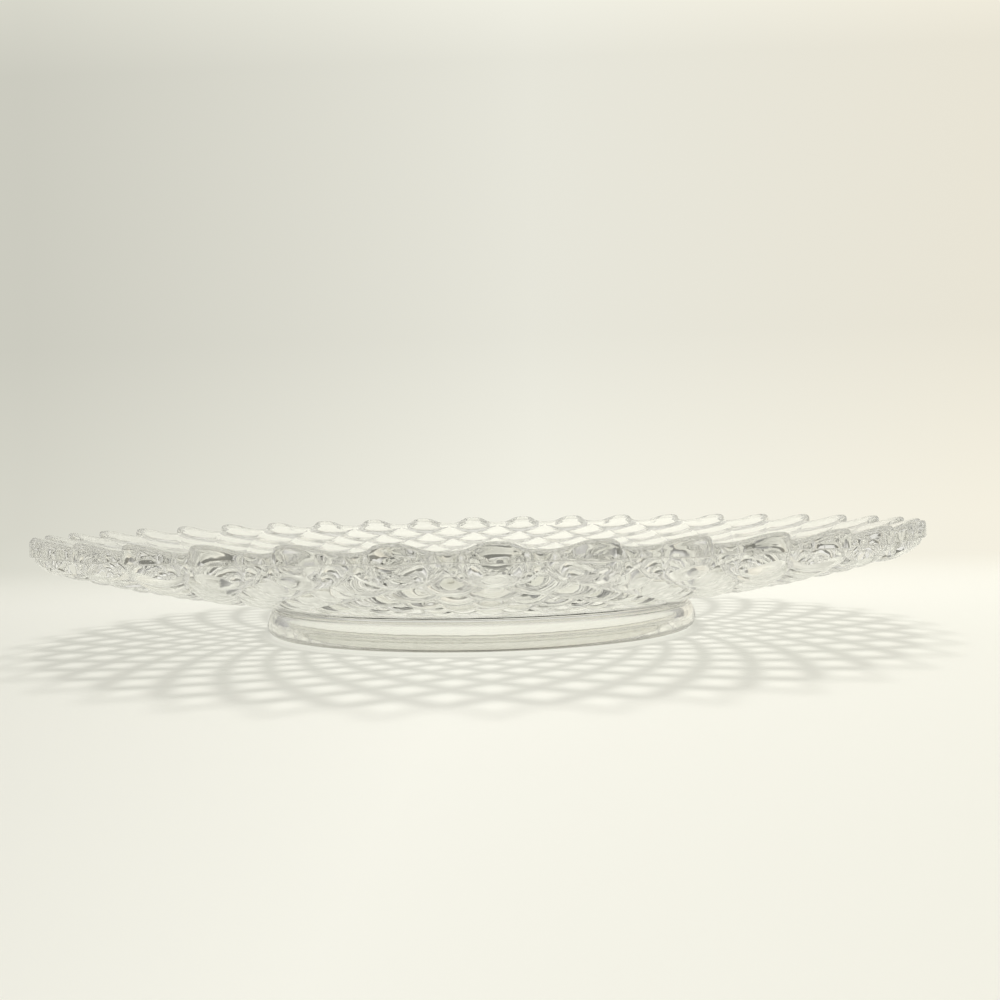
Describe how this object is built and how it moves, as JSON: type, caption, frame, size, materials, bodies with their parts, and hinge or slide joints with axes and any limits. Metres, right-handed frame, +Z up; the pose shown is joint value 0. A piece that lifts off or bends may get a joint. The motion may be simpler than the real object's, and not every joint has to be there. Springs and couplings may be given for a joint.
{
  "type": "relish plate",
  "caption": "Round pressed-glass relish plate: a shallow flared dish with a scalloped rim, rings of convex lenses on its underside and a low foot ring.",
  "frame": {"origin": "on the table under the centre of the plate, in the plane of the foot's ground land", "axes": "+Z up along the plate's axis; -Y towards the viewer of the picture; +X to the viewer's right"},
  "size_m": [0.254, 0.2532, 0.0307],
  "materials": {
    "glass": "clear colourless pressed glass, fire-polished"
  },
  "bodies": {
    "root": {"well_floor": "glass", "flared_wall": "glass", "scalloped_rim": "glass", "foot_ring": "glass", "lens_row_1": "glass", "lens_row_2": "glass", "lens_row_3": "glass", "lens_row_4": "glass", "lens_row_5": "glass", "lens_row_6": "glass", "lens_row_7": "glass", "lens_row_8": "glass", "lens_row_9": "glass"}
  },
  "joints": []
}
